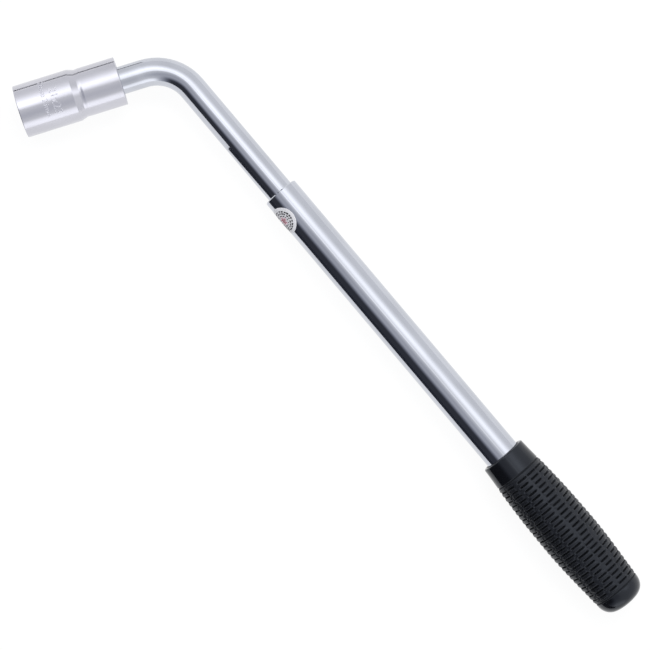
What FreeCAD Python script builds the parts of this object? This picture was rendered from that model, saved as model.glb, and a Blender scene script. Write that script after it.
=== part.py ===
import FreeCAD, Part
import math
import os

# Telescopic L-shaped lug wrench, in millimetres.
# The origin is the centre of the socket's nose face. The nut leaves along -Y, the socket's axis is Y,
# and the tool lies flat: the bend is in the XY plane, +Z is up. All the lengths that end in _S are
# distances from the corner, where the centre lines of the bar's two legs cross.

Vector = FreeCAD.Vector

# Driving dimensions: the layout
CORNER_Y = 90.3            # socket nose to the corner
HANDLE_ANGLE = 22.5        # long leg above the X axis, so the legs meet at 112.5 degrees
ROD_R = 8.0
BEND_R = 26.0              # centre line of the bend
ROD_END_S = 235.0
ROD_END_CHAMFER = 1.2
TUBE_MOUTH_S = 95.0        # as it is set at rest
HANDLE_IN = 65.0           # travel to the shortest setting
HANDLE_OUT = 95.0          # travel to the longest setting

# Socket
SOCKET_L = 59.5
LARGE_R = 15.1
SMALL_R = 14.0
SOCKET_CHAMFER = 0.6
WAIST_R = 13.85
STEP_START_Y = 31.8        # the outside narrows from here
WAIST_START_Y = 35.6
WAIST_END_Y = 36.6
STEP_END_Y = 37.8
LARGE_HEX = 23.0           # across flats
SMALL_HEX = 21.0
HEX_PLAY = 0.2
HEX_DEPTH = 22.0
LEAD_IN = 1.4              # depth of the cone at each mouth
LEAD_IN_SLOPE = 1.2
LEAD_IN_PLAY = 0.1
SQUARE_HOLE = 12.9
SQUARE_HOLE_CORNER_R = 0.8
WEB_MID_Y = 29.75

# Square drive, with its ball
SQUARE = 12.7
SQUARE_CORNER_R = 1.9
SQUARE_TIP_Y = 23.3
SQUARE_TIP_CHAMFER = 1.2
SQUARE_TIP_CORNER = 0.9    # how far the long edges stand out beyond the flats at the tip's cone
SHOULDER_GAP = 0.1
BALL_R = 2.38
BALL_BORE_R = 2.45
BALL_HELD_IN = 6.40        # the ball's top when the square hole holds it in
BALL_TRAVEL = 0.8
DIMPLE_R = 2.6
BALL_SPRING_R = 1.9
BALL_SPRING_WIRE = 0.4
BALL_SPRING_NIP = 0.35     # how far the last coil sits short of the ball's own circle
BALL_BORE_FLOOR = 4.6      # above the middle plane

# Lock button in the bar, pointing down
BUTTON_S = 210.0
BUTTON_HEAD_R = 3.2
BUTTON_FLANGE_R = 3.95
BUTTON_BORE_R = 4.05
BUTTON_RIM_R = 3.28
BUTTON_TOP = 7.9           # below the middle plane, when pressed in
BUTTON_DOME_H = 1.1
BUTTON_FLANGE_TOP = 2.35
BUTTON_FLANGE_T = 2.2
BUTTON_RIM_UNDERSIDE = 6.2
BUTTON_POCKET_R = 2.6
BUTTON_POCKET_TOP = 4.6
BUTTON_BORE_FLOOR = 4.0    # above the middle plane
BUTTON_SPRING_R = 2.4
BUTTON_SPRING_WIRE = 0.5
SPRING_TURNS = 6

# Handle tube
TUBE_R = 10.5
TUBE_BORE_R = 9.0
TUBE_L = 297.0
TUBE_LIP_R = 8.4
TUBE_LIP_L = 1.0
TUBE_EDGE = 0.5
LOCK_HOLE_R = 3.4
BUSH_BORE_R = 8.05
BUSH_L = 37.0
RING_GROOVE_R = 7.2
RING_R = 8.95
RING_W = 1.4
RING_GAP = 0.1
RING_SPLIT = 1.6
RING_PLAY = 0.05           # between the ring and the floor of its groove
GROOVE_PLAY = 0.1          # at each side of the ring

# Grip, along the handle from its mouth
GRIP_MOUTH_S = 290.4
GRIP_PROFILE = [(1.2, 13.5), (6.0, 13.9), (13.0, 14.55), (20.0, 15.05), (26.0, 15.35), (37.0, 15.85),
                (49.0, 16.1), (60.0, 16.2), (71.0, 15.95), (82.5, 15.3), (91.5, 14.65), (100.0, 14.2)]
GRIP_MOUTH_R = 12.9
GRIP_LIP_MID = (0.35, GRIP_MOUTH_R + 0.42)
GRIP_DOME_MID = (106.8, 12.4)
GRIP_TIP_R = 5.0
GRIP_L = 109.4
GRIP_COLLAR_FLOOR = 6.0    # depth of the gap between the collar and the tube
GRIP_COLLAR_BORE_R = 11.3
PLUG_SHANK_R = 9.0
PLUG_SHANK_L = 12.0
PLUG_FLANGE_T = 1.5
PLUG_HOLLOW_R = 6.5
PLUG_WALL = 2.0            # what is left between the hollow and the flange

# Round label on the tube
LABEL_S = 109.4
LABEL_R = 8.4
LABEL_T = 0.12
LABEL_TURN = 63.0          # from straight up towards the inside of the bend

OVER = 2.0                 # how far a cutting tool reaches past what it cuts

CORNER = Vector(0, CORNER_Y, 0)
ALONG = Vector(math.cos(math.radians(HANDLE_ANGLE)), math.sin(math.radians(HANDLE_ANGLE)), 0)
INWARD = Vector(ALONG.y, -ALONG.x, 0)      # across the handle, towards the inside of the bend
UP = Vector(0, 0, 1)
DOWN = Vector(0, 0, -1)
SOCKET_AXIS = Vector(0, 1, 0)


def on_handle(distance, across=0.0, height=0.0):
    """A point given by its distance from the corner along the long leg."""
    return CORNER + ALONG * distance + INWARD * across + UP * height


def handle_cylinder(radius, start, length):
    return Part.makeCylinder(radius, length, on_handle(start), ALONG)


def socket_cylinder(radius, start, length):
    return Part.makeCylinder(radius, length, Vector(0, start, 0), SOCKET_AXIS)


def revolved(edges, point, axis):
    """The solid that a closed outline makes when it turns about an axis."""
    return Part.Face(Part.Wire(edges)).revolve(point, axis, 360)


def straight_edges(points):
    """Straight edges through the points, back to the first."""
    return [Part.makeLine(a, b) for a, b in zip(points, points[1:] + points[:1])]


def turned_on_y(outline):
    """A turned piece on the socket's axis, from (y, radius) corners."""
    points = [Vector(radius, y, 0) for y, radius in outline]
    return revolved(straight_edges(points), Vector(0, 0, 0), SOCKET_AXIS)


def turned_on_handle(outline):
    """A turned piece on the handle's axis, from (distance, radius) corners."""
    points = [on_handle(distance, radius) for distance, radius in outline]
    return revolved(straight_edges(points), CORNER, ALONG)


def hexagon_prism(across_flats, start, length):
    """A hexagon prism on the socket's axis, with two flats level."""
    corner_r = across_flats / math.sqrt(3)
    angles = [math.radians(60 * i) for i in range(6)]
    points = [Vector(corner_r * math.cos(a), start, corner_r * math.sin(a)) for a in angles]
    return Part.Face(Part.Wire(straight_edges(points))).extrude(Vector(0, length, 0))


def rounded_square(side, corner_r, start, length):
    """A square bar on the socket's axis with rounded long edges."""
    bar = Part.makeBox(side, length, side, Vector(-side / 2, start, -side / 2))
    long_edges = [e for e in bar.Edges if abs(e.tangentAt(e.FirstParameter).y) > 0.9]
    return bar.makeFillet(corner_r, long_edges)


def coil_spring(outer_r, wire, length, foot, turns):
    """A compression spring that stands on foot and points down."""
    pitch = (length - wire) / turns
    mid_r = outer_r - wire / 2
    helix = Part.makeHelix(pitch, length - wire, mid_r)
    start_direction = Vector(0, 2 * math.pi * mid_r, pitch)
    section = Part.Wire(Part.makeCircle(wire / 2, Vector(mid_r, 0, 0), start_direction))
    spring = Part.Wire(helix).makePipeShell([section], True, True)
    spring.rotate(Vector(0, 0, 0), Vector(1, 0, 0), 180)
    spring.translate(foot + DOWN * (wire / 2))
    return spring


def make_socket():
    outline = [(0, 0), (0, LARGE_R - SOCKET_CHAMFER), (SOCKET_CHAMFER, LARGE_R), (STEP_START_Y, LARGE_R),
               (WAIST_START_Y, WAIST_R), (WAIST_END_Y, WAIST_R), (STEP_END_Y, SMALL_R),
               (SOCKET_L - SOCKET_CHAMFER, SMALL_R), (SOCKET_L, SMALL_R - SOCKET_CHAMFER), (SOCKET_L, 0)]
    body = turned_on_y(outline)
    mouths = [(LARGE_HEX, 0.0, 1), (SMALL_HEX, SOCKET_L, -1)]
    for across_flats, face_y, inward in mouths:
        opening = across_flats + HEX_PLAY
        start = face_y if inward > 0 else face_y - HEX_DEPTH
        body = body.cut(hexagon_prism(opening, start, HEX_DEPTH))
        wide = opening / math.sqrt(3) + LEAD_IN_PLAY
        narrow = wide - LEAD_IN * LEAD_IN_SLOPE
        body = body.cut(Part.makeCone(wide, narrow, LEAD_IN, Vector(0, face_y, 0), SOCKET_AXIS * inward))
    web_l = SOCKET_L - 2 * HEX_DEPTH
    hole = rounded_square(SQUARE_HOLE, SQUARE_HOLE_CORNER_R, HEX_DEPTH - OVER, web_l + 2 * OVER)
    body = body.cut(hole)
    dimple_centre = BALL_HELD_IN - BALL_R + BALL_TRAVEL
    for quarter in range(4):
        dimple = Part.makeSphere(DIMPLE_R, Vector(0, WEB_MID_Y, -dimple_centre))
        dimple.rotate(Vector(0, 0, 0), SOCKET_AXIS, 90 * quarter)
        body = body.cut(dimple)
    return body


def make_bar_path():
    """The bar's centre line: short leg, bend, long leg."""
    tangent_l = BEND_R * math.tan(math.radians(90 - HANDLE_ANGLE) / 2)
    short_start = Vector(0, SOCKET_L - HEX_DEPTH + SHOULDER_GAP, 0)
    bend_start = CORNER - SOCKET_AXIS * tangent_l
    bend_end = on_handle(tangent_l)
    centre = bend_start + Vector(BEND_R, 0, 0)
    to_corner = (CORNER - centre).normalize()
    bend_mid = centre + to_corner * BEND_R
    return [Part.makeLine(short_start, bend_start),
            Part.Arc(bend_start, bend_mid, bend_end).toShape(),
            Part.makeLine(bend_end, on_handle(ROD_END_S))]


def make_square_drive():
    """The square at the bar's front end, its tip bevelled all round and let into the bar behind."""
    start_y = SOCKET_L - HEX_DEPTH + SHOULDER_GAP
    square = rounded_square(SQUARE, SQUARE_CORNER_R, SQUARE_TIP_Y, start_y - SQUARE_TIP_Y + OVER)
    tip_r = SQUARE / 2 + SQUARE_TIP_CORNER - SQUARE_TIP_CHAMFER
    cone_l = start_y - SQUARE_TIP_Y + OVER
    nose = Part.makeCone(tip_r, tip_r + cone_l, cone_l, Vector(0, SQUARE_TIP_Y, 0), SOCKET_AXIS)
    return square.common(nose)


def cut_end_chamfer(bar):
    start = ROD_END_S - ROD_END_CHAMFER
    outside = ROD_R + OVER
    cutter = turned_on_handle([(start, ROD_R), (start, outside), (ROD_END_S + OVER, outside),
                               (ROD_END_S + OVER, ROD_R - ROD_END_CHAMFER - OVER)])
    return bar.cut(cutter)


def cut_ring_groove(bar):
    start = stop_ring_start() - GROOVE_PLAY
    length = RING_W + 2 * GROOVE_PLAY
    groove = handle_cylinder(ROD_R + OVER, start, length)
    core = handle_cylinder(RING_GROOVE_R, start - OVER, length + 2 * OVER)
    return bar.cut(groove.cut(core))


def cut_button_bore(bar):
    """A blind bore whose mouth is left narrower, as a peened rim."""
    at = on_handle(BUTTON_S)
    depth = BUTTON_BORE_FLOOR + BUTTON_RIM_UNDERSIDE
    bar = bar.cut(Part.makeCylinder(BUTTON_BORE_R, depth, at + UP * BUTTON_BORE_FLOOR, DOWN))
    return bar.cut(Part.makeCylinder(BUTTON_RIM_R, ROD_R + OVER, at, DOWN))


def cut_ball_bore(bar):
    """A blind bore, narrowed at its mouth to the ball's own shape."""
    ball_out = BALL_HELD_IN - BALL_R + BALL_TRAVEL
    at = Vector(0, WEB_MID_Y, 0)
    bore = Part.makeCylinder(BALL_BORE_R, BALL_BORE_FLOOR + ball_out, at + UP * BALL_BORE_FLOOR, DOWN)
    bore = bore.fuse(Part.makeSphere(BALL_BORE_R, at + DOWN * ball_out))
    return bar.cut(bore)


def make_drive_rod():
    path = Part.Wire(make_bar_path())
    start_y = SOCKET_L - HEX_DEPTH + SHOULDER_GAP
    section = Part.Wire(Part.makeCircle(ROD_R, Vector(0, start_y, 0), SOCKET_AXIS))
    bar = path.makePipeShell([section], True, False).fuse(make_square_drive())
    for cut in (cut_end_chamfer, cut_ring_groove, cut_button_bore, cut_ball_bore):
        bar = cut(bar)
    return bar


def make_drive_detent_ball():
    return Part.makeSphere(BALL_R, Vector(0, WEB_MID_Y, BALL_R - BALL_HELD_IN))


def make_drive_detent_spring():
    foot = Vector(0, WEB_MID_Y, BALL_BORE_FLOOR)
    ball_top = BALL_HELD_IN - 2 * BALL_R
    seat = math.sqrt(BALL_R ** 2 - (BALL_SPRING_R - BALL_SPRING_WIRE) ** 2)
    length = BALL_BORE_FLOOR + ball_top + BALL_R - seat - BALL_SPRING_NIP
    return coil_spring(BALL_SPRING_R, BALL_SPRING_WIRE, length, foot, SPRING_TURNS)


def make_lock_button():
    at = on_handle(BUTTON_S)
    dome_r = (BUTTON_HEAD_R ** 2 + BUTTON_DOME_H ** 2) / (2 * BUTTON_DOME_H)
    flange_bottom = BUTTON_FLANGE_TOP - BUTTON_FLANGE_T
    head = Part.makeCylinder(BUTTON_HEAD_R, BUTTON_TOP - flange_bottom, at + DOWN * flange_bottom, DOWN)
    head = head.common(Part.makeSphere(dome_r, at + DOWN * (BUTTON_TOP - dome_r)))
    flange = Part.makeCylinder(BUTTON_FLANGE_R, BUTTON_FLANGE_T, at + DOWN * flange_bottom, DOWN)
    pocket = Part.makeCylinder(BUTTON_POCKET_R, BUTTON_POCKET_TOP - flange_bottom,
                               at + DOWN * flange_bottom, DOWN)
    return head.fuse(flange).cut(pocket).removeSplitter()


def make_lock_button_spring():
    foot = on_handle(BUTTON_S) + UP * BUTTON_BORE_FLOOR
    length = BUTTON_BORE_FLOOR + BUTTON_POCKET_TOP
    return coil_spring(BUTTON_SPRING_R, BUTTON_SPRING_WIRE, length, foot, SPRING_TURNS)


def lock_hole_places():
    """Distances from the corner, at rest, of the three holes: shortest, middle and longest setting."""
    return [BUTTON_S + HANDLE_IN, BUTTON_S, BUTTON_S - HANDLE_OUT]


def drill_lock_holes(tube):
    for distance in lock_hole_places():
        tube = tube.cut(Part.makeCylinder(LOCK_HOLE_R, TUBE_R + OVER, on_handle(distance), DOWN))
    return tube


def make_outer_tube():
    start = TUBE_MOUTH_S
    end = TUBE_MOUTH_S + TUBE_L
    outline = [(start, TUBE_LIP_R), (start, TUBE_R - TUBE_EDGE), (start + TUBE_EDGE, TUBE_R), (end, TUBE_R),
               (end, TUBE_BORE_R), (start + TUBE_LIP_L, TUBE_BORE_R), (start + TUBE_LIP_L, TUBE_LIP_R)]
    return drill_lock_holes(turned_on_handle(outline))


def make_guide_bush():
    start = TUBE_MOUTH_S + TUBE_LIP_L
    bore = handle_cylinder(BUSH_BORE_R, start - OVER, BUSH_L + 2 * OVER)
    hole = Part.makeCylinder(LOCK_HOLE_R, TUBE_R + OVER, on_handle(BUTTON_S - HANDLE_OUT), DOWN)
    return handle_cylinder(TUBE_BORE_R, start, BUSH_L).cut(bore).cut(hole)


def stop_ring_start():
    """The ring meets the bush's inner end when the handle is at its longest."""
    return TUBE_MOUTH_S + TUBE_LIP_L + BUSH_L + HANDLE_OUT + RING_GAP


def make_stop_ring():
    start = stop_ring_start()
    bore = handle_cylinder(RING_GROOVE_R + RING_PLAY, start - OVER, RING_W + 2 * OVER)
    ring = handle_cylinder(RING_R, start, RING_W).cut(bore)
    split = Part.makeBox(RING_W + 2 * OVER, RING_SPLIT, RING_R + OVER, Vector(-OVER, -RING_SPLIT / 2, 0))
    split.rotate(Vector(0, 0, 0), UP, HANDLE_ANGLE)
    split.translate(on_handle(start))
    return ring.cut(split)


def make_grip():
    """Outer shape with a rounded lip and a domed closed end, hollow to fit the tube and its plug."""
    mouth = GRIP_MOUTH_S
    end = mouth + GRIP_L
    bore_end = TUBE_MOUTH_S + TUBE_L + PLUG_FLANGE_T
    profile = [on_handle(mouth + along, radius) for along, radius in GRIP_PROFILE]
    lip_start = on_handle(mouth, GRIP_MOUTH_R)
    lip_mid = on_handle(mouth + GRIP_LIP_MID[0], GRIP_LIP_MID[1])
    side = Part.BSplineCurve()
    side.interpolate(profile)
    dome_mid = on_handle(mouth + GRIP_DOME_MID[0], GRIP_DOME_MID[1])
    dome = Part.BSplineCurve()
    dome.interpolate([profile[-1], dome_mid, on_handle(end, GRIP_TIP_R)])
    collar_floor = mouth + GRIP_COLLAR_FLOOR
    corners = [on_handle(end, GRIP_TIP_R), on_handle(end, 0), on_handle(bore_end, 0),
               on_handle(bore_end, TUBE_R), on_handle(collar_floor, TUBE_R),
               on_handle(collar_floor, GRIP_COLLAR_BORE_R), on_handle(mouth, GRIP_COLLAR_BORE_R), lip_start]
    edges = [Part.Arc(lip_start, lip_mid, profile[0]).toShape(), side.toShape(), dome.toShape()]
    edges += [Part.makeLine(a, b) for a, b in zip(corners, corners[1:])]
    return revolved(edges, CORNER, ALONG)


def make_tube_end_plug():
    end = TUBE_MOUTH_S + TUBE_L
    shank = handle_cylinder(PLUG_SHANK_R, end - PLUG_SHANK_L, PLUG_SHANK_L)
    hollow = handle_cylinder(PLUG_HOLLOW_R, end - PLUG_SHANK_L, PLUG_SHANK_L - PLUG_WALL)
    flange = handle_cylinder(TUBE_R, end, PLUG_FLANGE_T)
    return shank.fuse(flange).cut(hollow).removeSplitter()


def make_inspection_label():
    start = LABEL_S - LABEL_R - OVER
    length = 2 * (LABEL_R + OVER)
    inside = handle_cylinder(TUBE_R, start - OVER, length + 2 * OVER)
    shell = handle_cylinder(TUBE_R + LABEL_T, start, length).cut(inside)
    turn = math.radians(LABEL_TURN)
    outward = UP * math.cos(turn) + INWARD * math.sin(turn)
    punch = Part.makeCylinder(LABEL_R, TUBE_R + OVER, on_handle(LABEL_S), outward)
    return shell.common(punch)


NODES = {
    "socket": make_socket,
    "drive_rod": make_drive_rod,
    "drive_detent_ball": make_drive_detent_ball,
    "drive_detent_spring": make_drive_detent_spring,
    "lock_button": make_lock_button,
    "lock_button_spring": make_lock_button_spring,
    "stop_ring": make_stop_ring,
    "outer_tube": make_outer_tube,
    "guide_bush": make_guide_bush,
    "tube_end_plug": make_tube_end_plug,
    "grip": make_grip,
    "inspection_label": make_inspection_label,
}

os.makedirs("parts", exist_ok=True)
for node, make in NODES.items():
    shape = make()
    shape.exportStep("parts/" + node + ".step")
    print(node, "volume %.1f mm3" % shape.Volume, "solids", len(shape.Solids), "valid", shape.isValid())
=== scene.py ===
import math
import random

import bmesh
import bpy
from mathutils import Matrix, Vector


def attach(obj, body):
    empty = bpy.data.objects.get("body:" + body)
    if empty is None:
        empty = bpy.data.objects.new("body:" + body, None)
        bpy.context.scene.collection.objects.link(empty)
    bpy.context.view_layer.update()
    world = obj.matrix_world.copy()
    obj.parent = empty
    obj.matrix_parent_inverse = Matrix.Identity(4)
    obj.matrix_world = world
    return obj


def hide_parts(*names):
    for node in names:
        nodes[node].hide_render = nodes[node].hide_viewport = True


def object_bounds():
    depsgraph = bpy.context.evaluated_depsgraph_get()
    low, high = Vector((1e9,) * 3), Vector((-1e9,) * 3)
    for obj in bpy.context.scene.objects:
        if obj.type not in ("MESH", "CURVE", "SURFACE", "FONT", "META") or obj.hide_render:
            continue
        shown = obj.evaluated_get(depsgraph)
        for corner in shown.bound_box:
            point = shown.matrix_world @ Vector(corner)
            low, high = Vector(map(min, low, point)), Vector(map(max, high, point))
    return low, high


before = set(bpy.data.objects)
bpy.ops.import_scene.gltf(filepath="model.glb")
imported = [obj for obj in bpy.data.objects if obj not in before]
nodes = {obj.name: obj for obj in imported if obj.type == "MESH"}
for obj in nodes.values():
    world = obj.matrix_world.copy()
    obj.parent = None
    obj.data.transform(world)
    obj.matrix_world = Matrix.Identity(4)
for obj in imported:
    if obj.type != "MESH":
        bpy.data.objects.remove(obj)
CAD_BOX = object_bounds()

# A telescopic L-shaped lug wrench on a pale floor. Metres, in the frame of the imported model: the socket's
# axis is Y with its nose at the origin, and the long leg runs from the corner along ALONG.
MM = 0.001
CORNER = Vector((0, 90.3 * MM, 0))
HANDLE_ANGLE = math.radians(22.5)
ALONG = Vector((math.cos(HANDLE_ANGLE), math.sin(HANDLE_ANGLE), 0))
INWARD = Vector((ALONG.y, -ALONG.x, 0))        # across the handle, towards the inside of the bend
UP = Vector((0, 0, 1))
# Turns local (X along the handle, Y away from the bend's inside, Z up) into the frame.
HANDLE_FRAME = Matrix.Translation(CORNER) @ Matrix.Rotation(HANDLE_ANGLE, 4, "Z")
FULL_TURN = 2 * math.pi


def on_handle(distance, across=0.0, height=0.0):
    """The point at a distance from the corner along the handle, and across towards the bend's inside."""
    return CORNER + ALONG * distance + INWARD * across + UP * height


def smoothstep(low, high, value):
    t = min(max((value - low) / (high - low), 0.0), 1.0)
    return t * t * (3 - 2 * t)


# ---------------------------------------------------------------- node trees

NOISE_RANGE = (0.3, 0.7)       # which noise mostly keeps to
COLOUR_INPUTS = (6, 7)         # of a mix node that mixes colours
COLOUR_OUTPUT = 2


class Tree:
    """Short calls for building a node tree. A value is an output of another node or a plain number."""

    def __init__(self, owner):
        owner.use_nodes = True
        self.tree = owner.node_tree
        self.tree.nodes.clear()

    def add(self, kind, **settings):
        node = self.tree.nodes.new(kind)
        for key, value in settings.items():
            setattr(node, key, value)
        return node

    def put(self, value, socket):
        """Links an output, or sets a plain value."""
        if isinstance(value, bpy.types.NodeSocket):
            self.tree.links.new(value, socket)
        else:
            socket.default_value = value

    def math(self, operation, a, b=0.0):
        node = self.add("ShaderNodeMath", operation=operation)
        self.put(a, node.inputs[0])
        self.put(b, node.inputs[1])
        return node.outputs[0]

    def total(self, value, *others):
        for other in others:
            value = self.math("ADD", value, other)
        return value

    def product(self, value, *others):
        for other in others:
            value = self.math("MULTIPLY", value, other)
        return value

    def step(self, value, low, high, out_low=0.0, out_high=1.0):
        """A smooth step from out_low to out_high as value goes from low to high."""
        node = self.add("ShaderNodeMapRange", interpolation_type="SMOOTHSTEP")
        for socket, item in zip(node.inputs, (value, low, high, out_low, out_high)):
            self.put(item, socket)
        return node.outputs[0]

    def vary(self, noise, low, high):
        """From low to high over the range that noise mostly keeps to."""
        return self.step(noise, *NOISE_RANGE, low, high)

    def dot(self, vector, direction):
        node = self.add("ShaderNodeVectorMath", operation="DOT_PRODUCT")
        self.put(vector, node.inputs[0])
        node.inputs[1].default_value = direction
        return node.outputs["Value"]

    def coordinates(self, turn=0.0, scale=(1, 1, 1)):
        """Object coordinates, turned about Z so that X can lie along the handle, and scaled."""
        source = self.add("ShaderNodeTexCoord").outputs["Object"]
        turned = self.add("ShaderNodeMapping")
        turned.inputs["Rotation"].default_value = (0, 0, turn)
        self.put(source, turned.inputs["Vector"])
        scaled = self.add("ShaderNodeMapping")
        scaled.inputs["Scale"].default_value = scale
        self.put(turned.outputs[0], scaled.inputs["Vector"])
        return scaled.outputs[0]

    def noise(self, cells, detail=3.0, roughness=0.5, turn=0.0):
        """Noise with so many cells per metre, alike every way or along X, Y and Z after the turn."""
        scale = cells if isinstance(cells, tuple) else (cells, cells, cells)
        node = self.add("ShaderNodeTexNoise")
        self.put(self.coordinates(turn, scale), node.inputs["Vector"])
        node.inputs["Scale"].default_value = 1.0
        node.inputs["Detail"].default_value = detail
        node.inputs["Roughness"].default_value = roughness
        return node.outputs["Fac"]

    def blend(self, factor, a, b):
        """From colour a to colour b. Each is an output or plain (red, green, blue)."""
        node = self.add("ShaderNodeMix", data_type="RGBA")
        self.put(factor, node.inputs["Factor"])
        for colour, index in zip((a, b), COLOUR_INPUTS):
            self.put((*colour, 1) if isinstance(colour, tuple) else colour, node.inputs[index])
        return node.outputs[COLOUR_OUTPUT]

    def bump(self, height, strength, distance, normal=None):
        node = self.add("ShaderNodeBump")
        self.put(height, node.inputs["Height"])
        node.inputs["Strength"].default_value = strength
        node.inputs["Distance"].default_value = distance
        if normal is not None:
            self.put(normal, node.inputs["Normal"])
        return node.outputs[0]

    def surface(self, **inputs):
        """The material's shader, with its inputs by name: Base_Color stands for Base Color."""
        shader = self.add("ShaderNodeBsdfPrincipled")
        for name, value in inputs.items():
            self.put(value, shader.inputs[name.replace("_", " ")])
        output = self.add("ShaderNodeOutputMaterial")
        self.tree.links.new(shader.outputs[0], output.inputs["Surface"])


def new_material(name):
    material = bpy.data.materials.new(name)
    return material, Tree(material)


# ---------------------------------------------------------------- materials

# Linear colours as (red, green, blue).
BRIGHT_CHROME = (0.572, 0.592, 0.648)
SATIN_CHROME = (0.6, 0.6, 0.655)
STAMPED_CREST = (0.84, 0.84, 0.89)
STAMPED_FLANK = (0.6, 0.6, 0.66)
BALL_STEEL = (0.62, 0.62, 0.64)
RING_STEEL = (0.42, 0.41, 0.4)
BUTTON_ZINC = (0.6, 0.6, 0.63)
SPRING_STEEL = (0.4, 0.4, 0.42)
DARK_WEAR = (0.25, 0.25, 0.26)
CLEAN_BRASS = (0.62, 0.46, 0.2)
TARNISHED_BRASS = (0.38, 0.26, 0.1)
PLUG_BLACK = (0.02, 0.02, 0.022)
PLUG_GREY = (0.04, 0.04, 0.044)
RUBBER_SKIN = (0.0036, 0.0038, 0.0050)
RUBBER_CLOUD = (0.0066, 0.0070, 0.0088)
# painted shade: the darker colour the grooves' rubber is given, standing in for the shade that falls in them
RUBBER_GROOVE_PAINTED_SHADE = (0.0016, 0.0017, 0.0022)
RUBBER_GLINT = (0.78, 0.86, 1.0)
FILM_WHITE = (0.78, 0.78, 0.81)
FILM_AGED = (0.70, 0.70, 0.72)
TICK_INK = (0.012, 0.012, 0.018)
RED_INK = (0.36, 0.022, 0.07)
PINK_INK = (0.66, 0.3, 0.38)

SMEAR_DULLING = 0.93           # the chrome's smears, as a share of its brightness
GRAIN_ROUGHENING = 0.15        # how much rougher small steel pieces are where their grain is high
LABEL_ROUGHNESS = (0.35, 0.5)
INK_SPECK_PALENESS = 0.45      # how far an ink's specks go from its colour to the film's grey
INK_FILM_GREY = 0.75
RUBBER_SPECULAR = 0.46
COLLAR_ROUGHNESS = (0.08, 0.16)
RIBBED_ROUGHENING = 0.26       # how much rougher the grip is between its end grooves
GROOVE_ROUGHNESS = 0.7


def chrome_material(name, turn, tint, rough, wavy):
    """Plated steel: slight waviness, smears in the gloss and faint polishing lines along the turned X."""
    material, t = new_material(name)
    lines = t.noise((18, 900, 900), detail=4.0, roughness=0.6, turn=turn)
    smears = t.noise((30, 90, 90), turn=turn)
    ripple = t.noise((25, 120, 120), detail=2.0, turn=turn)
    gloss = t.total(t.product(lines, 0.5), t.product(smears, 0.5))
    dull = tuple(c * SMEAR_DULLING for c in tint)
    fine = t.bump(lines, 0.06, 0.04 * MM)
    t.surface(Base_Color=t.blend(t.step(smears, 0.35, 0.7), tint, dull), Metallic=1.0,
              Roughness=t.step(gloss, 0.35, 0.65, *rough),
              Normal=t.bump(ripple, wavy, 0.2 * MM, fine))
    return material


def turned_steel_material(name, tint, roughness):
    """Small machined or drawn steel pieces: fine grain with darker, duller patches."""
    material, t = new_material(name)
    grain = t.noise(2500)
    patches = t.noise(220, detail=4.0)
    t.surface(Base_Color=t.blend(t.step(patches, 0.45, 0.75), tint, DARK_WEAR), Metallic=1.0,
              Roughness=t.vary(grain, roughness, roughness + GRAIN_ROUGHENING),
              Normal=t.bump(grain, 0.15, 0.05 * MM))
    return material


def rubber_material():
    """Black moulded rubber: satin on the high skin, glossier on the collar, dull in the grooves, and darker
    there as painted shade.
    """
    material, t = new_material("grip_rubber")
    depth = t.add("ShaderNodeAttribute", attribute_name="groove").outputs["Fac"]
    pores = t.noise(1400, roughness=0.6)
    clouds = t.noise(60)
    skin = t.blend(t.vary(clouds, 0.0, 1.0), RUBBER_SKIN, RUBBER_CLOUD)
    speckle = t.total(t.product(pores, 0.6), t.product(clouds, 0.4))
    along = t.dot(t.coordinates(), ALONG)
    start = on_handle(GRIP_MOUTH + GROOVE_FIRST * MM).dot(ALONG)
    stop = on_handle(GRIP_MOUTH + GROOVE_LAST * MM).dot(ALONG)
    ribbed = t.product(t.step(along, start - MM, start), t.step(along, stop, stop + MM, 1.0, 0.0))
    satin = t.total(t.vary(speckle, *COLLAR_ROUGHNESS), t.product(ribbed, RIBBED_ROUGHENING))
    # deeper in a groove the colour darkens: painted shade
    t.surface(Base_Color=t.blend(depth, skin, RUBBER_GROOVE_PAINTED_SHADE),
              Roughness=t.step(depth, 0.0, 0.6, satin, GROOVE_ROUGHNESS),
              Normal=t.bump(pores, 0.12, 0.06 * MM),
              Specular_IOR_Level=RUBBER_SPECULAR, Specular_Tint=(*RUBBER_GLINT, 1))
    return material


def plug_material():
    """Dark moulded plastic."""
    material, t = new_material("plug_plastic")
    grain = t.noise(900, detail=4.0)
    t.surface(Base_Color=t.blend(grain, PLUG_BLACK, PLUG_GREY), Roughness=t.vary(grain, 0.5, 0.65),
              Normal=t.bump(grain, 0.2, 0.1 * MM))
    return material


def brass_material():
    """Turned brass with rings round the handle's axis and tarnished patches."""
    material, t = new_material("bush_brass")
    lines = t.noise((3000, 60, 60), turn=-HANDLE_ANGLE)
    tarnish = t.noise(160, detail=4.0)
    t.surface(Base_Color=t.blend(t.step(tarnish, 0.4, 0.8), CLEAN_BRASS, TARNISHED_BRASS), Metallic=1.0,
              Roughness=t.vary(lines, 0.22, 0.4), Normal=t.bump(lines, 0.1, 0.05 * MM))
    return material


def label_paper_material():
    """White film with faint paper fibre and slightly yellowed patches."""
    material, t = new_material("label_film")
    fibre = t.noise(2600, detail=4.0)
    ageing = t.noise(150)
    t.surface(Base_Color=t.blend(t.vary(ageing, 0.0, 1.0), FILM_WHITE, FILM_AGED),
              Roughness=t.vary(fibre, *LABEL_ROUGHNESS), Normal=t.bump(fibre, 0.12, 0.03 * MM))
    return material


def label_ink_material(name, ink):
    """Printed ink that lets a little of the film through in specks."""
    material, t = new_material(name)
    specks = t.noise(5200)
    paler = tuple(c + (INK_FILM_GREY - c) * INK_SPECK_PALENESS for c in ink)
    t.surface(Base_Color=t.blend(t.step(specks, 0.5, 0.72), ink, paler),
              Roughness=t.vary(specks, *LABEL_ROUGHNESS))
    return material


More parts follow.
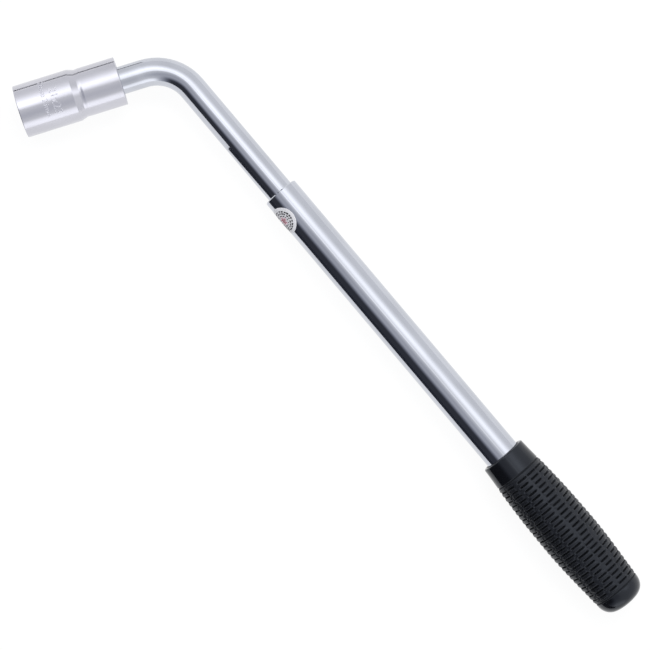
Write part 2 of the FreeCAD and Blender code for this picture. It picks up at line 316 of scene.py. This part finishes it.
def stamped_material():
    """The upset metal of rolled-in marks: brighter crests and dull flanks."""
    material, t = new_material("stamped_chrome")
    grain = t.noise(1800)
    t.surface(Base_Color=t.blend(t.step(grain, 0.35, 0.65), STAMPED_CREST, STAMPED_FLANK), Metallic=1.0,
              Roughness=t.vary(grain, 0.4, 0.65), Normal=t.bump(grain, 0.4, 0.05 * MM))
    return material


# ---------------------------------------------------------------- mesh helpers

def scene_object(name, data):
    """A new object with this data, in the scene."""
    item = bpy.data.objects.new(name, data)
    bpy.context.scene.collection.objects.link(item)
    return item


def mesh_object(name, mesh, material, body, smooth=True):
    """A piece of the wrench that rides a body."""
    mesh.materials.append(material)
    for polygon in mesh.polygons:
        polygon.use_smooth = smooth
    piece = scene_object(name, mesh)
    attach(piece, body)
    return piece


def turns_around(count):
    return [FULL_TURN * k / count for k in range(count)]


def ring_mesh(name, rings, place, closed=False):
    """Quads between rings of (distance, radius) pairs, which are evenly spaced round an axis."""
    around = len(rings[0])
    turns = turns_around(around)
    vertices = [tuple(place(x, r, turn)) for ring in rings for (x, r), turn in zip(ring, turns)]
    pairs = list(zip(range(len(rings)), range(1, len(rings))))
    if closed:
        pairs.append((len(rings) - 1, 0))
    steps = [(k, (k + 1) % around) for k in range(around)]
    faces = [(i * around + k, i * around + after, j * around + after, j * around + k)
             for i, j in pairs for k, after in steps]
    if not closed:
        faces += [tuple(range(around)), tuple(range((len(rings) - 1) * around, len(rings) * around))]
    mesh = bpy.data.meshes.new(name)
    mesh.from_pydata(vertices, [], faces)
    build = bmesh.new()
    build.from_mesh(mesh)
    bmesh.ops.recalc_face_normals(build, faces=build.faces)
    build.to_mesh(mesh)
    build.free()
    return mesh


def crisp(piece, degrees):
    """Sharp edges where faces meet at a larger angle, and flat faces that shade flat."""
    piece.data.set_sharp_from_angle(angle=math.radians(degrees))
    weighted = piece.modifiers.new("weighted", "WEIGHTED_NORMAL")
    weighted.keep_sharp = True


def filleted(corners, steps=6):
    """The outline through (x, y, fillet) corners, with each fillet as an arc."""
    outline = []
    for i, (x, y, fillet) in enumerate(corners):
        here = Vector((x, y))
        if fillet == 0:
            outline.append((x, y))
            continue
        before = (Vector(corners[i - 1][:2]) - here).normalized()
        after = (Vector(corners[i + 1][:2]) - here).normalized()
        half = before.angle(after) / 2
        centre = here + (before + after).normalized() * fillet / math.sin(half)
        start = here + before * (fillet / math.tan(half)) - centre
        stop = here + after * (fillet / math.tan(half)) - centre
        sweep = start.angle(stop)
        for k in range(steps + 1):
            a = sweep * k / steps
            arm = (start * math.sin(sweep - a) + stop * math.sin(a)) / math.sin(sweep)
            outline.append(tuple(centre + arm))
    return outline


# ---------------------------------------------------------------- grip

GRIP_MOUTH = 290.4 * MM        # from the corner
GRIP_LENGTH = 109.4 * MM
TUBE_RADIUS = 10.5 * MM
TUBE_END = 393.5 * MM          # from the corner, with the tube's plug
# (distance from the mouth, radius) of the outside, in mm
GRIP_SHAPE = [(1.2, 13.5), (6.0, 13.8), (13.0, 14.35), (20.0, 14.9), (26.0, 15.27), (37.0, 15.83),
              (49.0, 16.1), (60.0, 16.2), (71.0, 15.95), (82.5, 15.3), (91.5, 14.65), (100.0, 14.2)]
GRIP_AROUND = 264              # points in a ring
AXIS_RADIUS = 0.05 * MM        # where the closed ends stop short of the axis
# The mouth stands clear of the tube and has a rounded lip.
RECESS_DEPTH = 6.0 * MM
RECESS_RADIUS = 11.35 * MM
MOUTH_RADIUS = 13.5 * MM
LIP_START = 1.0 * MM
LIP_HEIGHT = 0.85 * MM
LIP_STEPS = 10
COLLAR_STEPS = 14
DOME_STEPS = 24
DOME_POWER = 0.55              # 1 is an ellipse, and less is squarer
GRIP_CRISP = 50                # degrees between faces that make an edge sharp

# Rows of short cross grooves, in mm, with an unbroken groove at each end.
GRIP_ROWS = 12
GRIP_ROW_TURN = math.radians(10)
GROOVE_FIRST = 13.4            # from the mouth
GROOVE_LAST = 99.0
GROOVE_RINGS = 27
GROOVE_PITCH = (GROOVE_LAST - GROOVE_FIRST) / GROOVE_RINGS
GROOVE_STEPS = 14              # rings of points in one pitch
GROOVE_HALF = 0.4              # half of its width
GROOVE_SOFT = 0.32             # how softly its sides fall
GROOVE_DEPTH = 0.9
END_GROOVE_DEPTH = 0.5
END_MARGIN = 1.2               # of finely spaced points beyond the end grooves
GROOVED_MARGIN = 1.5           # beyond which the surface is plain
GROOVED_RADIUS = 13 * MM       # below which a point is in the bore or on the dome
GROOVE_ARC = 0.78              # share of a row's pitch that a groove fills
GROOVE_END = 0.07              # how softly it ends, in shares of a row's pitch
CROWN = 0.42                   # how far the ribs bulge between their grooves
CROWN_SINK = 0.4               # share of the bulge by which its edges lie under GRIP_SHAPE
# How much each groove's length, place (in shares of a row's pitch) and depth vary
LENGTH_JITTER = (0.82, 1.12)
PLACE_JITTER = (-0.1, 0.1)
DEPTH_JITTER = (0.8, 1.15)
GROOVE_SEED = 3


def groove_jitter():
    """Each groove's own small changes of length, place and depth, by ring and row."""
    chance = random.Random(GROOVE_SEED)
    return [[(chance.uniform(*LENGTH_JITTER), chance.uniform(*PLACE_JITTER), chance.uniform(*DEPTH_JITTER))
             for _ in range(GRIP_ROWS)] for _ in range(GROOVE_RINGS + 1)]


JITTER = groove_jitter()


def grip_radius(x):
    """Radius in mm at x mm from the mouth, through GRIP_SHAPE by Catmull-Rom curves."""
    points = GRIP_SHAPE
    if x <= points[0][0]:
        return points[0][1]
    for i in range(len(points) - 1):
        if x <= points[i + 1][0]:
            break
    (x0, r0), (x1, r1) = points[i], points[i + 1]
    before = points[max(i - 1, 0)]
    after = points[min(i + 2, len(points) - 1)]
    t = (x - x0) / (x1 - x0)
    slope0 = (r1 - before[1]) / (x1 - before[0]) * (x1 - x0)
    slope1 = (after[1] - r0) / (after[0] - x0) * (x1 - x0)
    return ((2 * t ** 3 - 3 * t ** 2 + 1) * r0 + (t ** 3 - 2 * t ** 2 + t) * slope0
            + (3 * t ** 2 - 2 * t ** 3) * r1 + (t ** 3 - t ** 2) * slope1)


def grip_surface(x, turn, radius):
    """The radius and the groove depth (0 to 1) where short cross grooves are cut in rows."""
    along = (x - GRIP_MOUTH) / MM
    beyond = along < GROOVE_FIRST - GROOVED_MARGIN or along > GROOVE_LAST + GROOVED_MARGIN
    if beyond or radius < GROOVED_RADIUS:
        return radius, 0.0
    ring = min(max(round((along - GROOVE_FIRST) / GROOVE_PITCH), 0), GROOVE_RINGS)
    off = abs(along - GROOVE_FIRST - ring * GROOVE_PITCH)
    cut = 1 - smoothstep(GROOVE_HALF - GROOVE_SOFT, GROOVE_HALF + GROOVE_SOFT, off)
    if ring in (0, GROOVE_RINGS):
        return radius - END_GROOVE_DEPTH * cut * MM, cut
    row = (turn - GRIP_ROW_TURN) / FULL_TURN * GRIP_ROWS
    length, shift, deep = JITTER[ring][round(row) % GRIP_ROWS]
    half = GROOVE_ARC / 2 * length
    in_row = 1 - smoothstep(half - GROOVE_END, half + GROOVE_END, abs(row - round(row) - shift))
    cut *= in_row * deep
    rise = math.sin(math.pi / 2 * min(off / (GROOVE_PITCH / 2), 1.0))
    bulge = CROWN * (rise - CROWN_SINK) * in_row
    return radius + (bulge - GROOVE_DEPTH * cut) * MM, cut


def grip_profile():
    """(x, radius) from the closed end of the bore, out of the mouth and over the outside to the domed end."""
    recess = GRIP_MOUTH + RECESS_DEPTH
    points = [(TUBE_END, AXIS_RADIUS), (TUBE_END, TUBE_RADIUS), (recess, TUBE_RADIUS),
              (recess, RECESS_RADIUS), (GRIP_MOUTH + LIP_START, RECESS_RADIUS)]
    lip_middle = (RECESS_RADIUS + MOUTH_RADIUS) / 2
    lip_half = (MOUTH_RADIUS - RECESS_RADIUS) / 2
    for k in range(LIP_STEPS + 1):
        a = math.pi * k / LIP_STEPS
        points.append((GRIP_MOUTH + LIP_HEIGHT * (1 - math.sin(a)), lip_middle - lip_half * math.cos(a)))
    first = GRIP_SHAPE[0][0]
    start = GROOVE_FIRST - END_MARGIN
    stop = GROOVE_LAST + END_MARGIN
    samples = int((stop - start) / GROOVE_PITCH * GROOVE_STEPS)
    outside = [first + (start - first) * k / COLLAR_STEPS for k in range(COLLAR_STEPS)]
    outside += [start + (stop - start) * k / samples for k in range(samples + 1)]
    points += [(GRIP_MOUTH + x * MM, grip_radius(x) * MM) for x in outside]
    last_x, last_r = points[-1]
    end = GRIP_MOUTH + GRIP_LENGTH
    for k in range(1, DOME_STEPS + 1):
        a = math.pi / 2 * k / DOME_STEPS
        radius = last_r * max(math.cos(a), 0.0) ** DOME_POWER
        points.append((last_x + (end - last_x) * math.sin(a), max(radius, AXIS_RADIUS)))
    return points


def handle_place(x, r, turn):
    return HANDLE_FRAME @ Vector((x, -r * math.sin(turn), r * math.cos(turn)))


def make_grip():
    """The moulded grip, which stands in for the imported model's plain one."""
    rings = []
    depths = []
    for x, radius in grip_profile():
        cuts = [grip_surface(x, turn, radius) for turn in turns_around(GRIP_AROUND)]
        rings.append([(x, r) for r, depth in cuts])
        depths += [depth for r, depth in cuts]
    mesh = ring_mesh("ribbed_grip", rings, handle_place)
    mesh.attributes.new("groove", "FLOAT", "POINT").data.foreach_set("value", depths)
    piece = mesh_object("ribbed_grip", mesh, rubber_material(), "handle")
    crisp(piece, GRIP_CRISP)
    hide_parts("grip")


# ---------------------------------------------------------------- label

LABEL_AT = 109.4 * MM          # from the corner
LABEL_TURN = math.radians(63)  # from the tube's top towards the bend's inside
LABEL_RADIUS = 8.4 * MM
LABEL_AROUND = 96
LABEL_HOLE = 0.02 * MM         # at the middle, where the ring's points nearly meet
PATCH_ROW = 0.4 * MM           # widest row of faces that still bends with the tube
FILM_LIFT = 0.12 * MM          # of the film's top over the tube
FILM_THICKNESS = 0.1 * MM
PRINT_LIFT = FILM_LIFT + 0.05 * MM
PRINT_THICKNESS = 0.04 * MM
MERGE_DISTANCE = 0.001 * MM

# The print: rings of ticks as (radius, half width, count, filled share), lengths in mm
TICK_RINGS = [(6.0, 0.5, 22, 0.82), (4.7, 0.42, 17, 0.8), (3.3, 0.36, 13, 0.72)]
TICK_SHIFT = (-0.12, 0.12)     # in shares of a tick's pitch
TICK_LENGTH = (0.6, 1.15)      # the range of each tick's own length and width, in shares of its ring's
TICK_WIDTH = (0.7, 1.1)
TICK_STEPS = 4
TICK_SEED = 7
# Sectors as (count, first turn, sweep, inner radius, outer radius), lengths in mm
ROSETTE = (6, 0.0, 0.72, 0.12, 1.75)
HALO = (5, 0.3, 0.9, 2.0, 2.5)
SECTOR_STEPS = 8


def wrapped(x, y, lift):
    """A point of the flat label, wrapped on the tube: x along the tube, y round it."""
    turn = LABEL_TURN + y / TUBE_RADIUS
    r = TUBE_RADIUS + lift
    return on_handle(LABEL_AT + x, r * math.sin(turn), r * math.cos(turn))


def ring_patch(build, inner, outer, start, stop, lift, steps):
    """A ring sector of the flat label between two radii, as wrapped faces."""
    rows = max(2, int((outer - inner) / PATCH_ROW) + 1)
    angles = [start + (stop - start) * k / steps for k in range(steps + 1)]
    grid = []
    for i in range(rows + 1):
        radius = inner + (outer - inner) * i / rows
        places = [wrapped(radius * math.cos(a), radius * math.sin(a), lift) for a in angles]
        grid.append([build.verts.new(place) for place in places])
    for i in range(rows):
        for k in range(steps):
            build.faces.new((grid[i][k], grid[i + 1][k], grid[i + 1][k + 1], grid[i][k + 1]))


def label_piece(name, build, material, thickness):
    """A thin printed or cut piece whose top is where it was built."""
    build.normal_update()
    outward = wrapped(0, 0, 1.0) - wrapped(0, 0, 0)
    if build.faces[:][0].normal.dot(outward) < 0:
        bmesh.ops.reverse_faces(build, faces=build.faces)
    mesh = bpy.data.meshes.new(name)
    build.to_mesh(mesh)
    build.free()
    piece = mesh_object(name, mesh, material, "handle")
    edge = piece.modifiers.new("edge", "SOLIDIFY")
    edge.thickness = thickness
    edge.offset = -1
    return piece


def make_label():
    """The round film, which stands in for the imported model's plain label, and its print."""
    film = bmesh.new()
    ring_patch(film, LABEL_HOLE, LABEL_RADIUS, 0, FULL_TURN, FILM_LIFT, LABEL_AROUND)
    bmesh.ops.remove_doubles(film, verts=film.verts, dist=MERGE_DISTANCE)
    piece = label_piece("round_label", film, label_paper_material(), FILM_THICKNESS)
    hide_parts("inspection_label")
    make_label_ticks()
    make_label_sectors("label_rosette", ROSETTE, label_ink_material("red_ink", RED_INK))
    make_label_sectors("label_halo", HALO, label_ink_material("pink_ink", PINK_INK))


def make_label_ticks():
    """Broken dark rings of short ticks."""
    chance = random.Random(TICK_SEED)
    ticks = bmesh.new()
    for radius, width, count, fill in TICK_RINGS:
        for k in range(count):
            start = FULL_TURN * (k + chance.uniform(*TICK_SHIFT)) / count
            stop = start + FULL_TURN / count * fill * chance.uniform(*TICK_LENGTH)
            edge = chance.uniform(*TICK_WIDTH) * width
            ring_patch(ticks, (radius - edge) * MM, (radius + edge) * MM, start, stop, PRINT_LIFT, TICK_STEPS)
    label_piece("label_ticks", ticks, label_ink_material("tick_ink", TICK_INK), PRINT_THICKNESS)


def make_label_sectors(name, sectors, ink):
    """Evenly spaced ring sectors: the rosette's petals, or the broken ring round it."""
    count, first, sweep, inner, outer = sectors
    build = bmesh.new()
    for k in range(count):
        start = FULL_TURN * k / count + first
        ring_patch(build, inner * MM, outer * MM, start, start + sweep, PRINT_LIFT, SECTOR_STEPS)
    label_piece(name, build, ink, PRINT_THICKNESS)


# ---------------------------------------------------------------- socket

# In mm
SOCKET_LENGTH = 59.5
LARGE_R = 15.1
SMALL_R = 14.0
WAIST_R = 13.85
HEX_DEPTH = 22.0
LARGE_HEX = 23.2               # across flats, with its play
SMALL_HEX = 21.2
LEAD_IN_EXTRA = 0.1            # how far the hexagon mouths' cones reach beyond the corners
LEAD_IN_SLOPE = 1.2
SQUARE_HOLE = 12.9
SQUARE_CORNER_R = 0.8
WEB_MID = 29.75                # the middle of the web between the hexagons, where the ball's dimples are
DIMPLE_R = 2.6
DIMPLE_CENTRE = 4.82
SOCKET_AROUND = 360            # points in a ring
SOCKET_CRISP = 28              # degrees between faces that make an edge sharp
LINES_TURN = math.radians(90)  # so that the polishing lines run along the socket
# Distances of the inside's rings: closely spaced in the lead-in cones and in the dimples
FINE_STEP = 0.2
LEAD_IN_STEPS = 8
DIMPLE_STEPS = 14
HEXAGON_DEPTHS = [FINE_STEP * k for k in range(LEAD_IN_STEPS + 1)] + [3.0, 8.0, 15.0, HEX_DEPTH]
DIMPLE_DEPTHS = [WEB_MID + FINE_STEP * k for k in range(-DIMPLE_STEPS, DIMPLE_STEPS + 1)]
WEB_DEPTHS = [HEX_DEPTH, 25.0] + DIMPLE_DEPTHS + [35.0, SOCKET_LENGTH - HEX_DEPTH]
# (distance from the nose, radius, fillet) of the outside, from the bar's end to the nose
SOCKET_OUTSIDE = [(59.5, 12.4, 0), (59.5, SMALL_R, 0.45), (37.8, SMALL_R, 1.5), (36.6, WAIST_R, 1.5),
                  (35.6, WAIST_R, 0.6), (31.8, LARGE_R, 0.6), (0.0, LARGE_R, 0.5), (0.0, 13.6, 0)]

# Size marks: (text, height, distance of the middle from the nose, degrees from the top)
SIZE_MARKS = [("21mm 23mm", 4.2, 15.8, -4), ("21x23", 6.4, 21.4, 8)]
MARK_RELIEF = 0.12
MARK_BEVEL = 0.05
MARK_CURVE_STEPS = 3


def hexagon_radius(across_flats):
    """The radius of a hexagon hole as a function of the turn."""
    return lambda turn: across_flats / 2 / math.cos(turn % (math.pi / 3) - math.pi / 6)


def square_radius(turn):
    """The square hole's radius, with its rounded corners."""
    folded = turn % (math.pi / 2)
    folded = min(folded, math.pi / 2 - folded)
    centre = SQUARE_HOLE / 2 - SQUARE_CORNER_R
    if math.tan(folded) <= centre / (SQUARE_HOLE / 2):
        return SQUARE_HOLE / 2 / math.cos(folded)
    reach = centre * (math.cos(folded) + math.sin(folded))
    return reach + math.sqrt(SQUARE_CORNER_R ** 2 - 2 * centre ** 2 + reach ** 2)


def dimple_radius(distance, turn):
    """How far out the four ball dimples reach in the square hole's walls."""
    off = (turn + math.pi / 4) % (math.pi / 2) - math.pi / 4
    inside = DIMPLE_R ** 2 - (distance - WEB_MID) ** 2 - (DIMPLE_CENTRE * math.sin(off)) ** 2
    return DIMPLE_CENTRE * math.cos(off) + math.sqrt(inside) if inside > 0 else 0.0


def mouth_radius(depth, hexagon, turn):
    """A hexagon hole's radius, widened by the lead-in cone at its mouth."""
    lead_in = hexagon(0.0) + LEAD_IN_EXTRA - LEAD_IN_SLOPE * depth
    return max(hexagon(turn), lead_in)


def socket_rings():
    """(distance, radius function) from the nose's mouth through the inside, and back over the outside."""
    large = hexagon_radius(LARGE_HEX)
    small = hexagon_radius(SMALL_HEX)
    rings = [(d, lambda turn, d=d: mouth_radius(d, large, turn)) for d in HEXAGON_DEPTHS]
    rings += [(d, lambda turn, d=d: max(square_radius(turn), dimple_radius(d, turn))) for d in WEB_DEPTHS]
    rings += [(SOCKET_LENGTH - d, lambda turn, d=d: mouth_radius(d, small, turn))
              for d in reversed(HEXAGON_DEPTHS)]
    rings += [(d, lambda turn, r=r: r) for d, r in filleted(SOCKET_OUTSIDE)[1:]]
    return rings


def socket_place(distance, r, turn):
    return Vector((r * math.cos(turn), distance, r * math.sin(turn)))


def make_socket():
    """The double-ended socket with a rounded waist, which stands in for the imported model's."""
    turns = turns_around(SOCKET_AROUND)
    rings = [[(d * MM, radius(turn) * MM) for turn in turns] for d, radius in socket_rings()]
    mesh = ring_mesh("double_ended_socket", rings, socket_place, closed=True)
    chrome = chrome_material("socket_chrome", LINES_TURN, SATIN_CHROME, rough=(0.12, 0.2), wavy=0.05)
    piece = mesh_object("double_ended_socket", mesh, chrome, "socket")
    crisp(piece, SOCKET_CRISP)
    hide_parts("socket")


def size_mark(text, height):
    """Flat figures, thin and with small bevels, centred on their origin."""
    curve = bpy.data.curves.new("mark", "FONT")
    curve.body = text
    curve.size = height * MM
    curve.align_x = "CENTER"
    curve.align_y = "CENTER"
    curve.resolution_u = MARK_CURVE_STEPS
    curve.extrude = MARK_RELIEF * MM
    curve.bevel_depth = MARK_BEVEL * MM
    curve.bevel_resolution = 1
    source = scene_object("mark", curve)
    mesh = bpy.data.meshes.new_from_object(source)
    bpy.data.objects.remove(source)
    return mesh


def make_size_marks():
    """Rolled-in size marks: the socket's two hexagon sizes in two bands, repeated underneath."""
    marks = bmesh.new()
    for text, height, distance, first in SIZE_MARKS:
        flat_mark = size_mark(text, height)
        for turn in (first, first + 180):
            part = bmesh.new()
            part.from_mesh(flat_mark)
            bmesh.ops.subdivide_edges(part, edges=part.edges, cuts=1)
            for vertex in part.verts:
                flat = vertex.co.copy()
                around = math.radians(turn) + flat.x / (LARGE_R * MM)
                r = LARGE_R * MM + flat.z
                vertex.co = (r * math.sin(around), distance * MM + flat.y, r * math.cos(around))
            wrapped_mark = bpy.data.meshes.new("wrapped")
            part.to_mesh(wrapped_mark)
            part.free()
            marks.from_mesh(wrapped_mark)
    mesh = bpy.data.meshes.new("size_marks")
    marks.to_mesh(mesh)
    marks.free()
    piece = mesh_object("size_marks", mesh, stamped_material(), "socket", smooth=False)


# ---------------------------------------------------------------- CAD nodes

def give(node, material):
    nodes[node].data.materials.clear()
    nodes[node].data.materials.append(material)


def dress_cad_nodes():
    """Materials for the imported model's own pieces."""
    tube = chrome_material("tube_chrome", -HANDLE_ANGLE, BRIGHT_CHROME, rough=(0.06, 0.1), wavy=0.02)
    bar = chrome_material("bar_chrome", -HANDLE_ANGLE, BRIGHT_CHROME, rough=(0.06, 0.11), wavy=0.02)
    spring = turned_steel_material("spring_wire", SPRING_STEEL, roughness=0.25)
    give("outer_tube", tube)
    give("drive_rod", bar)
    give("drive_detent_ball", turned_steel_material("ball_steel", BALL_STEEL, roughness=0.08))
    give("stop_ring", turned_steel_material("ring_steel", RING_STEEL, roughness=0.3))
    give("lock_button", turned_steel_material("button_zinc", BUTTON_ZINC, roughness=0.2))
    give("lock_button_spring", spring)
    give("drive_detent_spring", spring)
    give("guide_bush", brass_material())
    give("tube_end_plug", plug_material())


# ---------------------------------------------------------------- stage

RIB_HEIGHT = 0.3 * MM          # how far the visual grip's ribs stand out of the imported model's plain grip
FLOOR_Z = CAD_BOX[0][2] - RIB_HEIGHT
FLOOR_HALF = 6.0               # half of its side
FLOOR_TINTS = ((0.09, 0.09, 0.09), (0.1, 0.1, 0.1))
FLOOR_GLOW = 0.92              # keeps the floor near white whatever falls on it

# Directions across the tool, by where they point in the picture
HANDLE_SIDE = -INWARD                  # across the handle: up and to the right
SOCKET_SIDE = Vector((-1, 0, 0))       # across the socket: up
SOCKET_AXIS = Vector((0, 1, 0))
# The broad light is over the top of the picture, between the two.
BROAD_SIDE = (SOCKET_SIDE + HANDLE_SIDE).normalized()
BROAD_ACROSS = Vector((-BROAD_SIDE.y, BROAD_SIDE.x, 0))
# Brightness of the surroundings. Each FADE is where a smooth step begins and ends, as the cosine of the
# angle from some direction.
WALL_POWERS = (0.916, 0.862)           # on HANDLE_SIDE, and elsewhere
WALL_FADE = (-0.75, 0.05)
BROAD_POWER = 1.15
BROAD_NEAR_FADE = (-0.11, 0.41)
BROAD_NEAR_SLANT = 0.24
BROAD_FAR_FADE = (0.166, 0.776)
BROAD_FAR_SLANT = 0.057
BROAD_END_FADE = (0.5, 0.75)
BULGE = 0.13
BULGE_RISE_FADE = (-0.1, 0.0)
BULGE_FALL_FADE = (0.03, 0.09)
LOW_POWER = 0.64
LOW_FADE = (0.8, 0.975)
LOW_END_FADE = (0.25, 0.5)
# The drape's upper and lower folds, with the share of the light that each takes away
UPPER_FOLD = 0.335
UPPER_FADE = (0.0, 0.4)
LOWER_FOLD = 0.6
LOWER_FADE = (0.525, 0.86)
DRAPE_END_FADE = (0.3, 0.85)
AIR_TINT = (0.975, 0.98, 1.0)
DRAPE_TINT = (0.74, 0.79, 1.0)

LAMP_LEAN = math.radians(30)           # from straight above, towards BROAD_SIDE
LAMP_DISTANCE = 1.6
LAMP_SIZE = (1.2, 0.45)
LAMP_WATTS = 9
LAMP_TARGET = on_handle(150 * MM)

# The handle's card bends at these points: mm from the corner, and mm inwards from the handle's axis
HANDLE_FLAG_BENDS = [(480, 66), (125, 66), (54, 38)]
HANDLE_FLAG_HEIGHT = 26 * MM
HANDLE_FLAG_CLOTH = (0.02, 0.022, 0.03)
SOCKET_FLAG_X = -132 * MM
SOCKET_FLAG_SPAN = (-40 * MM, 82 * MM)
SOCKET_FLAG_HEIGHT = 15 * MM
SOCKET_FLAG_CLOTH = (0.04, 0.04, 0.06)
WEAVE_BRIGHTENING = 1.5

CAMERA_PLACE = Vector((0.2022, 0.0804, 1.2))
CAMERA_TARGET = Vector((0.16755, 0.12787, 0))
CAMERA_LENS = 117.3                    # mm, as is the sensor's width
CAMERA_SENSOR = 36
CAMERA_CLIP_END = 50
PICTURE_UP_TURN = math.radians(162.29) # from X, of the direction that is up in the picture


def looking(place, target, right):
    """The placement of a lamp or a camera that faces the target, with right as its own X."""
    back = (place - target).normalized()
    axes = Matrix((right, back.cross(right), back)).transposed()
    return Matrix.Translation(place) @ axes.to_4x4()


def make_floor():
    """A plain, nearly white floor under the grip's ribs."""
    mesh = bpy.data.meshes.new("floor")
    corners = [(-FLOOR_HALF, -FLOOR_HALF), (FLOOR_HALF, -FLOOR_HALF),
               (FLOOR_HALF, FLOOR_HALF), (-FLOOR_HALF, FLOOR_HALF)]
    mesh.from_pydata([(x, y, FLOOR_Z) for x, y in corners], [], [(0, 1, 2, 3)])
    material, t = new_material("floor_white")
    t.surface(Base_Color=t.blend(t.noise(3, detail=2.0), *FLOOR_TINTS), Roughness=0.8, Specular_IOR_Level=0.1,
              Emission_Color=(1, 1, 1, 1), Emission_Strength=FLOOR_GLOW)
    mesh.materials.append(material)
    scene_object("floor", mesh)


def make_world():
    """Soft studio surroundings: pale walls, a broad overhead light, a low light and a dark drape."""
    world = bpy.data.worlds.new("studio")
    bpy.context.scene.world = world
    t = Tree(world)
    direction = t.add("ShaderNodeTexCoord").outputs["Generated"]
    inward = t.dot(direction, INWARD)
    walls = t.step(inward, *WALL_FADE, *WALL_POWERS)
    # the broad light, whose near edge slants and has a bulge
    toward = t.dot(direction, BROAD_SIDE)
    sideways = t.dot(direction, BROAD_ACROSS)
    rise = t.step(inward, *BULGE_RISE_FADE, 0.0, BULGE)
    bulge = t.product(rise, t.step(inward, *BULGE_FALL_FADE, 1.0, 0.0))
    slant = t.total(bulge, t.product(sideways, BROAD_NEAR_SLANT))
    near_edge = t.step(t.total(toward, slant), *BROAD_NEAR_FADE)
    far = t.math("SUBTRACT", toward, t.product(sideways, BROAD_FAR_SLANT))
    far_edge = t.step(far, *BROAD_FAR_FADE, 1.0, 0.0)
    broad = t.product(near_edge, far_edge, t.step(t.math("ABSOLUTE", sideways), *BROAD_END_FADE, 1.0, 0.0))
    # a low light on the side of the picture's bottom
    low_ends = t.step(t.math("ABSOLUTE", t.dot(direction, SOCKET_AXIS)), *LOW_END_FADE, 1.0, 0.0)
    low = t.product(t.step(t.dot(direction, -SOCKET_SIDE), *LOW_FADE), low_ends)
    light = t.total(walls, t.product(broad, BROAD_POWER), t.product(low, LOW_POWER))
    # a dark blue drape beyond the inside of the bend
    upper = t.step(inward, *UPPER_FADE, 0.0, UPPER_FOLD)
    lower = t.step(inward, *LOWER_FADE, 0.0, LOWER_FOLD)
    drape_ends = t.step(t.math("ABSOLUTE", t.dot(direction, ALONG)), *DRAPE_END_FADE, 1.0, 0.0)
    drape = t.product(t.total(upper, lower), drape_ends)
    background = t.add("ShaderNodeBackground")
    t.put(t.blend(drape, AIR_TINT, DRAPE_TINT), background.inputs["Color"])
    t.put(t.product(light, t.math("SUBTRACT", 1.0, drape)), background.inputs["Strength"])
    output = t.add("ShaderNodeOutputWorld")
    t.put(background.outputs[0], output.inputs["Surface"])


def make_lights():
    """One soft lamp inside the broad light, for gentle shadows."""
    lamp = bpy.data.lights.new("soft_lamp", "AREA")
    lamp.shape = "RECTANGLE"
    lamp.size, lamp.size_y = LAMP_SIZE
    lamp.energy = LAMP_WATTS
    holder = scene_object("soft_lamp", lamp)
    holder.visible_glossy = False      # the world's broad light is what the chrome shows
    place = LAMP_TARGET + (BROAD_SIDE * math.sin(LAMP_LEAN) + UP * math.cos(LAMP_LEAN)) * LAMP_DISTANCE
    holder.matrix_world = looking(place, LAMP_TARGET, BROAD_ACROSS)


def make_flag(name, foot, height, shade):
    """A low dark card on the floor, which only reflections see and only from its left as foot runs."""
    low = [Vector((p.x, p.y, FLOOR_Z)) for p in foot]
    high = [p + UP * height for p in low]
    count = len(foot)
    mesh = bpy.data.meshes.new(name)
    faces = [(k, k + 1, count + k + 1, count + k) for k in range(count - 1)]
    mesh.from_pydata([tuple(v) for v in low + high], [], faces)
    material, t = new_material(name + "_cloth")
    weave = t.noise(300, detail=2.0)
    cloth = t.add("ShaderNodeBsdfDiffuse")
    t.put(t.blend(weave, shade, tuple(c * WEAVE_BRIGHTENING for c in shade)), cloth.inputs["Color"])
    one_sided = t.add("ShaderNodeMixShader")
    t.put(t.add("ShaderNodeNewGeometry").outputs["Backfacing"], one_sided.inputs["Fac"])
    t.put(cloth.outputs[0], one_sided.inputs[1])
    t.put(t.add("ShaderNodeBsdfTransparent").outputs[0], one_sided.inputs[2])
    t.put(one_sided.outputs[0], t.add("ShaderNodeOutputMaterial").inputs["Surface"])
    mesh.materials.append(material)
    flag = scene_object(name, mesh)
    flag.visible_camera = False
    flag.visible_diffuse = False
    flag.visible_shadow = False


def make_flags():
    """A long card along the handle that ends its dark stripe, and a thin one along the socket's top."""
    bends = [on_handle(distance * MM, across * MM) for distance, across in HANDLE_FLAG_BENDS]
    make_flag("handle_flag", bends, HANDLE_FLAG_HEIGHT, HANDLE_FLAG_CLOTH)
    ends = [Vector((SOCKET_FLAG_X, y, 0)) for y in SOCKET_FLAG_SPAN]
    make_flag("socket_flag", ends, SOCKET_FLAG_HEIGHT, SOCKET_FLAG_CLOTH)


def make_camera():
    """Nearly straight above, turned to how the tool lies in the picture."""
    camera = bpy.data.cameras.new("camera")
    camera.sensor_width = CAMERA_SENSOR
    camera.lens = CAMERA_LENS
    camera.clip_end = CAMERA_CLIP_END
    holder = scene_object("camera", camera)
    picture_up = Vector((math.cos(PICTURE_UP_TURN), math.sin(PICTURE_UP_TURN), 0))
    right = picture_up.cross((CAMERA_PLACE - CAMERA_TARGET).normalized()).normalized()
    holder.matrix_world = looking(CAMERA_PLACE, CAMERA_TARGET, right)
    bpy.context.scene.camera = holder


make_camera()
make_world()
make_lights()
make_floor()
make_flags()
dress_cad_nodes()
make_grip()
make_label()
make_socket()
make_size_marks()
bpy.context.scene.view_settings.view_transform = "Standard"
